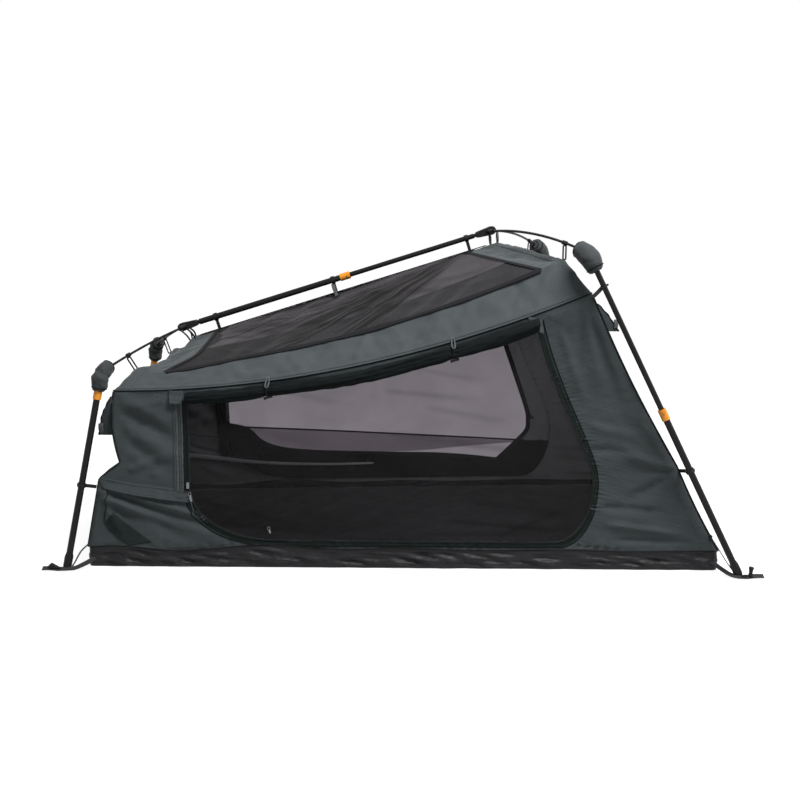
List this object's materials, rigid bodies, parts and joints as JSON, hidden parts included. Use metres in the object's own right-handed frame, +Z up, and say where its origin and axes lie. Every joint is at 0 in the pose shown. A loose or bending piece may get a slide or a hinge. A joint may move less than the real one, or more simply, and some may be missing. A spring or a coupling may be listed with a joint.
{
  "type": "frame tent",
  "caption": "Low frame tent for one sleeper: a canvas and mesh body on a tub floor, hung from a telescoping ridge pole and folding legs.",
  "frame": {"origin": "on the ground at the middle of the tub floor's underside", "axes": "+X towards the taller head end, +Z up, -Y the near side that the picture shows"},
  "size_m": [2.4213, 1.1814, 1.153],
  "materials": {
    "pole_black": "semi-gloss black coat on tube",
    "moulded_black": "fine moulded grain",
    "rod_black": "satin glass fibre rod",
    "button_orange": "satin orange moulding",
    "canvas_green": "matt coated polycotton canvas",
    "pad_green": "matt canvas over foam",
    "mesh_black": "fine see-through insect mesh",
    "tub_black": "coated groundsheet with a soft sheen",
    "mattress_grey": "matt mattress cover",
    "webbing_grey": "woven webbing"
  },
  "bodies": {
    "tent": {"tub_floor": "tub_black", "mattress": "mattress_grey", "side_wall_near": "canvas_green", "side_wall_far": "canvas_green", "end_wall_foot": "canvas_green", "end_wall_head": "canvas_green", "roof_canopy": "canvas_green", "roof_mesh": "mesh_black", "door_mesh_near": "mesh_black", "door_mesh_far": "mesh_black", "door_roll_near": "canvas_green", "door_roll_far": "canvas_green", "hood_foot": "canvas_green", "hood_head": "canvas_green", "foot_tether_near": "webbing_grey", "foot_tether_far": "webbing_grey", "head_tether_near": "webbing_grey", "head_tether_far": "webbing_grey"},
    "foot_frame": {"foot_hub": "moulded_black", "foot_rod_near": "rod_black", "foot_rod_far": "rod_black", "foot_elbow_near": "moulded_black", "foot_elbow_far": "moulded_black", "foot_pad_near": "pad_green", "foot_pad_far": "pad_green"},
    "head_frame": {"head_hub": "moulded_black", "head_rod_near": "rod_black", "head_rod_far": "rod_black", "head_elbow_near": "moulded_black", "head_elbow_far": "moulded_black", "head_pad_near": "pad_green", "head_pad_far": "pad_green"},
    "ridge_outer": {"ridge_outer_tube": "pole_black", "ridge_collar": "button_orange", "ridge_clip_foot": "moulded_black", "ridge_clip_middle": "moulded_black"},
    "ridge_inner": {"ridge_inner_tube": "pole_black", "ridge_clip_head": "moulded_black"},
    "foot_leg_near": {"foot_leg_near_upper_tube": "pole_black", "foot_leg_near_lower_tube": "pole_black", "foot_leg_near_collar": "button_orange", "foot_leg_clip_near": "moulded_black"},
    "foot_leg_near_button": {"foot_leg_near_button": "button_orange"},
    "foot_leg_far": {"foot_leg_far_upper_tube": "pole_black", "foot_leg_far_lower_tube": "pole_black", "foot_leg_far_collar": "button_orange", "foot_leg_clip_far": "moulded_black"},
    "foot_leg_far_button": {"foot_leg_far_button": "button_orange"},
    "head_leg_near_upper": {"head_leg_near_upper_tube": "pole_black"},
    "head_leg_near_lower": {"head_leg_near_lower_tube": "pole_black", "head_leg_near_collar": "button_orange", "head_leg_clip_near": "moulded_black"},
    "head_leg_near_button": {"head_leg_near_button": "button_orange"},
    "head_leg_far_upper": {"head_leg_far_upper_tube": "pole_black"},
    "head_leg_far_lower": {"head_leg_far_lower_tube": "pole_black", "head_leg_far_collar": "button_orange", "head_leg_clip_far": "moulded_black"},
    "head_leg_far_button": {"head_leg_far_button": "button_orange"},
    "ridge_button": {"ridge_button": "button_orange"},
    "zip_slider": {"door_zip_slider": "moulded_black"}
  },
  "joints": [
    {"name": "canopy_drop", "type": "slide", "parent": "tent", "child": "foot_frame", "axis": [0, 0, -1], "range_m": [0, 0.5], "deforming": ["side_wall_near", "side_wall_far", "end_wall_foot", "end_wall_head", "roof_canopy", "roof_mesh", "door_mesh_near", "door_mesh_far", "door_roll_near", "door_roll_far", "hood_foot", "hood_head", "foot_tether_near", "foot_tether_far", "head_tether_near", "head_tether_far"]},
    {"name": "ridge_pitch", "type": "hinge", "parent": "foot_frame", "child": "ridge_outer", "pos_m": [-0.775, 0, 0.797], "axis": [0, 1, 0], "range_deg": [0, 16]},
    {"name": "ridge_slide", "type": "slide", "parent": "ridge_outer", "child": "ridge_inner", "axis": [-0.9553, 0, -0.2957], "range_m": [0, 0.42]},
    {"name": "head_pitch", "type": "hinge", "parent": "ridge_inner", "child": "head_frame", "pos_m": [0.275, 0, 1.122], "axis": [0, -1, 0], "range_deg": [0, 16]},
    {"name": "foot_leg_near_fold", "type": "hinge", "parent": "foot_frame", "child": "foot_leg_near", "pos_m": [-1.023, -0.4, 0.64802], "axis": [-0.1038, -0.9871, 0.1218], "range_deg": [0, 100], "deforming": ["foot_pad_near"]},
    {"name": "foot_leg_near_button_press", "type": "slide", "parent": "foot_leg_near", "child": "foot_leg_near_button", "axis": [-0.0194, 0.995, -0.0983], "range_m": [0, 0.003], "stiffness_N_per_m": 400},
    {"name": "head_leg_near_fold", "type": "hinge", "parent": "head_frame", "child": "head_leg_near_upper", "pos_m": [0.58992, -0.52999, 1.04516], "axis": [0, 1, 0], "range_deg": [0, 115], "deforming": ["head_pad_near"]},
    {"name": "head_leg_near_slide", "type": "slide", "parent": "head_leg_near_upper", "child": "head_leg_near_lower", "axis": [-0.4454, 0.0347, 0.8947], "range_m": [0, 0.42]},
    {"name": "head_leg_near_button_press", "type": "slide", "parent": "head_leg_near_lower", "child": "head_leg_near_button", "axis": [0.0155, 0.9994, -0.0311], "range_m": [0, 0.003], "stiffness_N_per_m": 400},
    {"name": "foot_leg_far_fold", "type": "hinge", "parent": "foot_frame", "child": "foot_leg_far", "pos_m": [-1.023, 0.4, 0.64802], "axis": [0.1038, -0.9871, -0.1218], "range_deg": [0, 100], "deforming": ["foot_pad_far"]},
    {"name": "foot_leg_far_button_press", "type": "slide", "parent": "foot_leg_far", "child": "foot_leg_far_button", "axis": [-0.0194, -0.995, -0.0983], "range_m": [0, 0.003], "stiffness_N_per_m": 400},
    {"name": "head_leg_far_fold", "type": "hinge", "parent": "head_frame", "child": "head_leg_far_upper", "pos_m": [0.58992, 0.52999, 1.04516], "axis": [0, 1, 0], "range_deg": [0, 115], "deforming": ["head_pad_far"]},
    {"name": "head_leg_far_slide", "type": "slide", "parent": "head_leg_far_upper", "child": "head_leg_far_lower", "axis": [-0.4454, -0.0347, 0.8947], "range_m": [0, 0.42]},
    {"name": "head_leg_far_button_press", "type": "slide", "parent": "head_leg_far_lower", "child": "head_leg_far_button", "axis": [0.0155, -0.9994, -0.0311], "range_m": [0, 0.003], "stiffness_N_per_m": 400},
    {"name": "ridge_button_press", "type": "slide", "parent": "ridge_outer", "child": "ridge_button", "axis": [0, 1, 0], "range_m": [0, 0.003], "stiffness_N_per_m": 400},
    {"name": "door_zip", "type": "slide", "parent": "tent", "child": "zip_slider", "axis": [0, 0.0733, 0.9973], "range_m": [0, 0.24]}
  ],
  "couplings": [
    {"joint": "ridge_pitch", "follows": "canopy_drop", "rad_per_m": 0.55795},
    {"joint": "ridge_slide", "follows": "canopy_drop", "ratio": 0.83916},
    {"joint": "head_pitch", "follows": "canopy_drop", "rad_per_m": 0.55795},
    {"joint": "foot_leg_near_fold", "follows": "canopy_drop", "rad_per_m": 3.4872},
    {"joint": "head_leg_near_fold", "follows": "canopy_drop", "rad_per_m": 4.0102},
    {"joint": "head_leg_near_slide", "follows": "canopy_drop", "ratio": 0.83916},
    {"joint": "foot_leg_far_fold", "follows": "canopy_drop", "rad_per_m": 3.4872},
    {"joint": "head_leg_far_fold", "follows": "canopy_drop", "rad_per_m": 4.0102},
    {"joint": "head_leg_far_slide", "follows": "canopy_drop", "ratio": 0.83916}
  ]
}
